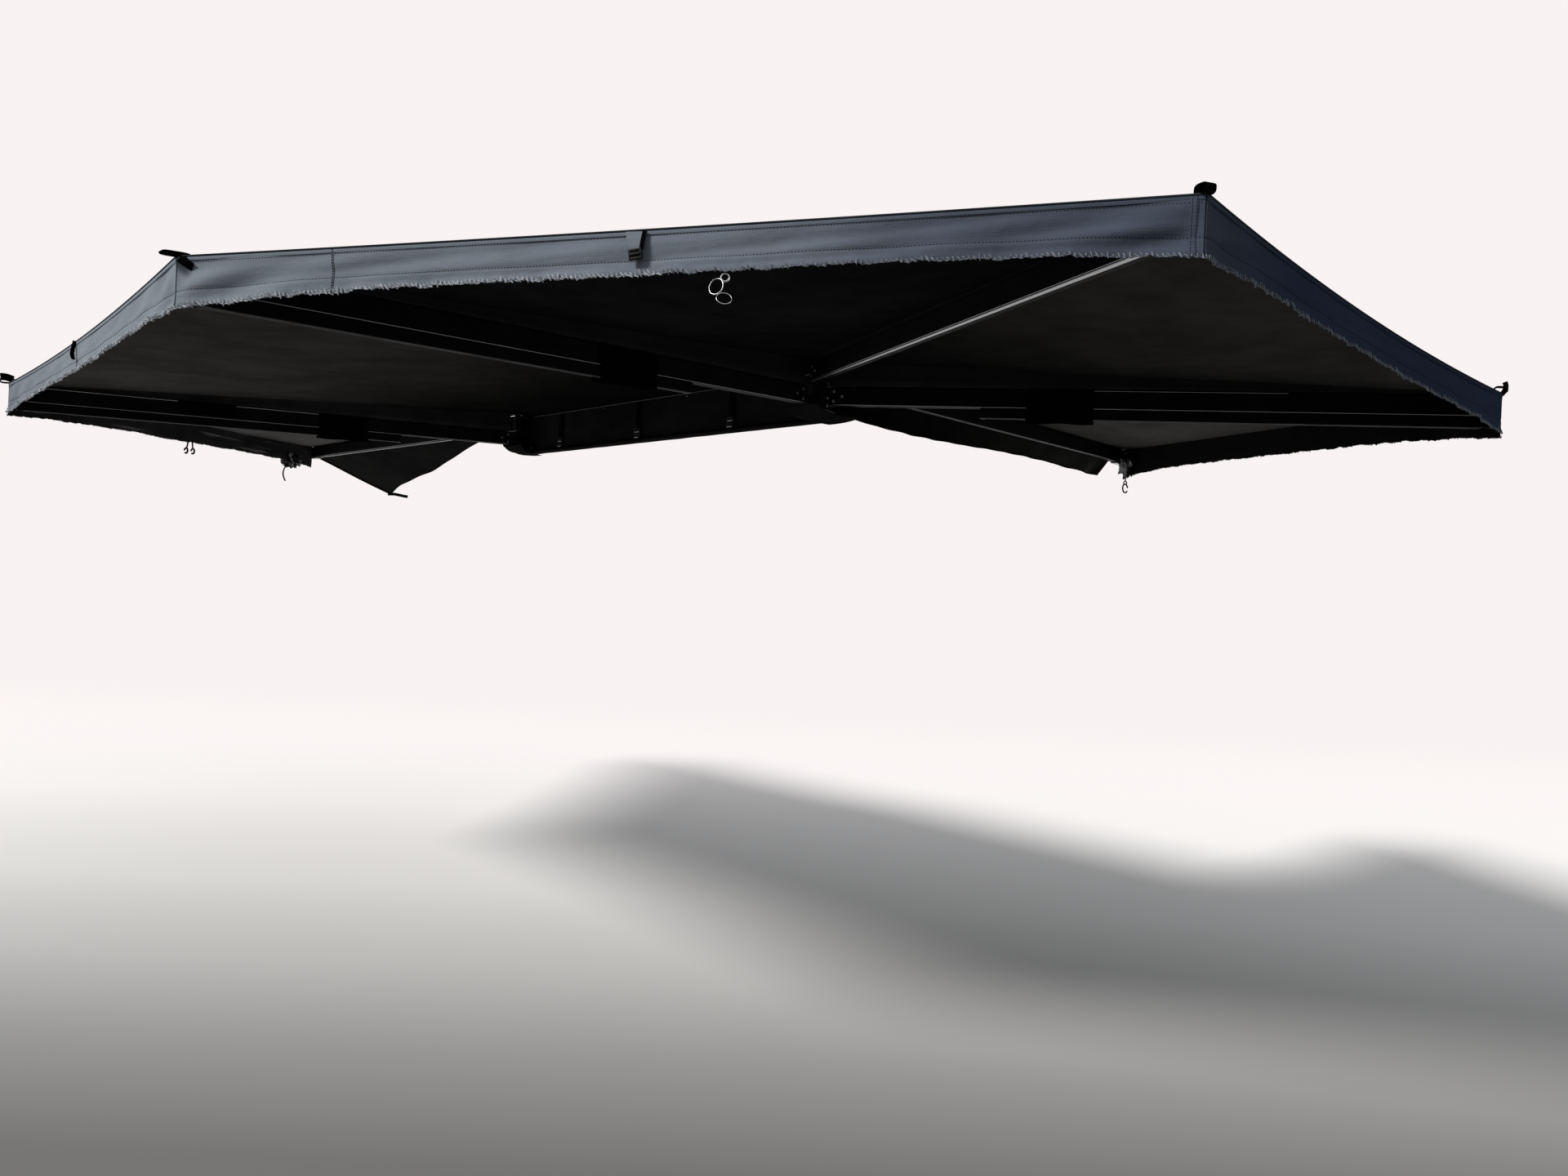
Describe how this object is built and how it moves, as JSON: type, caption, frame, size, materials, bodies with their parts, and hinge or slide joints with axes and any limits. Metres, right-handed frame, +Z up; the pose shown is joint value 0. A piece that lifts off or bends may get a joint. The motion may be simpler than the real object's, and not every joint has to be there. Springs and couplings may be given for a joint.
{
  "type": "vehicle side awning",
  "caption": "Free-standing wrap-round side awning: folding arms on two hubs of a roof rail, cloth canopy with valances, telescopic drop legs and a hanging bag.",
  "frame": {"origin": "middle of the rail's back face, which lies against the roof rack's side", "axes": "+X towards the front of the vehicle, +Y out from its side, +Z up"},
  "size_m": [6.6563, 4.4807, 0.3283],
  "materials": {
    "black_paint": "satin black powder coat on aluminium extrusion",
    "cast_black": "fine-textured black casting",
    "grey_alloy": "dark anodised aluminium",
    "zinc_steel": "bright zinc-plated steel",
    "canopy_cloth": "matte black coated ripstop cloth",
    "valance_cloth": "dark slate-blue coated cloth with pale stitching",
    "bag_cloth": "semi-matte black coated bag cloth",
    "webbing": "black ribbed webbing and hook-and-loop cloth"
  },
  "bodies": {
    "base": {"base_rail": "black_paint", "bag": "bag_cloth", "bag_strap_front": "webbing", "bag_strap_mid": "webbing", "bag_strap_rear": "webbing", "hub_front_block": "cast_black", "hub_front_plate_top": "grey_alloy", "hub_front_plate_mid": "grey_alloy", "hub_front_plate_bottom": "grey_alloy", "hub_front_bolt": "zinc_steel", "hub_rear_block": "cast_black", "hub_rear_plate_top": "grey_alloy", "hub_rear_plate_mid": "grey_alloy", "hub_rear_plate_bottom": "grey_alloy", "hub_rear_bolt": "zinc_steel", "panel_bc": "canopy_cloth", "valance_bc": "valance_cloth"},
    "arm_a": {"knuckle_a": "cast_black", "arm_a": "black_paint", "cap_a": "cast_black", "flap_front": "canopy_cloth"},
    "arm_b": {"knuckle_b": "cast_black", "arm_b": "black_paint", "cap_b": "cast_black", "wrap_b": "webbing", "wrap_b_outer": "webbing", "tip_loop_b": "webbing", "panel_ab": "canopy_cloth", "valance_ab": "valance_cloth"},
    "arm_c": {"knuckle_c": "cast_black", "arm_c": "black_paint", "cap_c": "cast_black", "wrap_c": "webbing", "tip_loop_c": "webbing", "panel_cd": "canopy_cloth", "valance_cd": "valance_cloth"},
    "arm_d": {"knuckle_d": "cast_black", "arm_d": "black_paint", "cap_d": "cast_black", "tip_loop_d": "webbing", "panel_de": "canopy_cloth", "valance_de": "valance_cloth"},
    "arm_e": {"knuckle_e": "cast_black", "arm_e": "black_paint", "cap_e": "cast_black", "wrap_e": "webbing", "tip_loop_e": "webbing", "panel_ef": "canopy_cloth", "valance_ef": "valance_cloth"},
    "arm_f": {"knuckle_f": "cast_black", "arm_f": "black_paint", "cap_f": "cast_black", "flap_rear": "canopy_cloth"},
    "leg_b": {"leg_b_outer": "black_paint"},
    "leg_b_inner": {"leg_b_inner": "grey_alloy"},
    "leg_c": {"leg_c_outer": "black_paint"},
    "leg_c_inner": {"leg_c_inner": "grey_alloy"},
    "leg_e": {"leg_e_outer": "black_paint"},
    "leg_e_inner": {"leg_e_inner": "grey_alloy"}
  },
  "joints": [
    {"name": "arm_a_swing", "type": "hinge", "parent": "base", "child": "arm_a", "pos_m": [1.175, 0.092, 0], "axis": [0, 0, 1], "range_deg": [0, 173.2], "deforming": ["panel_ab", "valance_ab", "panel_bc", "valance_bc", "flap_front"]},
    {"name": "arm_b_swing", "type": "hinge", "parent": "base", "child": "arm_b", "pos_m": [1.175, 0.092, 0], "axis": [0, 0, 1], "range_deg": [0, 98.2]},
    {"name": "arm_f_swing", "type": "hinge", "parent": "base", "child": "arm_f", "pos_m": [-1.175, 0.167, 0], "axis": [0, 0, -1], "range_deg": [0, 271.8], "deforming": ["panel_cd", "valance_cd", "panel_de", "valance_de", "panel_ef", "valance_ef", "flap_rear"]},
    {"name": "arm_c_swing", "type": "hinge", "parent": "base", "child": "arm_c", "pos_m": [-1.175, 0.167, 0], "axis": [0, 0, -1], "range_deg": [0, 95.2]},
    {"name": "arm_d_swing", "type": "hinge", "parent": "base", "child": "arm_d", "pos_m": [-1.175, 0.167, 0], "axis": [0, 0, -1], "range_deg": [0, 156.7]},
    {"name": "arm_e_swing", "type": "hinge", "parent": "base", "child": "arm_e", "pos_m": [-1.175, 0.167, 0], "axis": [0, 0, -1], "range_deg": [0, 208.9]},
    {"name": "leg_b_swing", "type": "hinge", "parent": "arm_b", "child": "leg_b", "pos_m": [1.47813, 2.24889, -0.18275], "axis": [0.9903, -0.1392, 0], "range_deg": [0, 90]},
    {"name": "leg_b_slide", "type": "slide", "parent": "leg_b", "child": "leg_b_inner", "axis": [-0.1391, -0.99, 0.0244], "range_m": [0, 0.55]},
    {"name": "leg_c_swing", "type": "hinge", "parent": "arm_c", "child": "leg_c", "pos_m": [-1.33993, 2.33898, -0.18275], "axis": [0.9962, 0.0872, 0], "range_deg": [0, 90]},
    {"name": "leg_c_slide", "type": "slide", "parent": "leg_c", "child": "leg_c_inner", "axis": [0.0871, -0.9959, 0.0244], "range_m": [0, 0.55]},
    {"name": "leg_e_swing", "type": "hinge", "parent": "arm_e", "child": "leg_e", "pos_m": [-3.0735, -0.9009, -0.18275], "axis": [-0.4802, 0.8771, 0], "range_deg": [0, 90]},
    {"name": "leg_e_slide", "type": "slide", "parent": "leg_e", "child": "leg_e_inner", "axis": [0.8769, 0.4801, 0.0244], "range_m": [0, 0.55]}
  ],
  "couplings": [
    {"joint": "arm_b_swing", "follows": "arm_a_swing", "ratio": 0.56582},
    {"joint": "arm_e_swing", "follows": "arm_f_swing", "ratio": 0.76784},
    {"joint": "arm_d_swing", "follows": "arm_f_swing", "ratio": 0.57579},
    {"joint": "arm_c_swing", "follows": "arm_f_swing", "ratio": 0.34952}
  ]
}
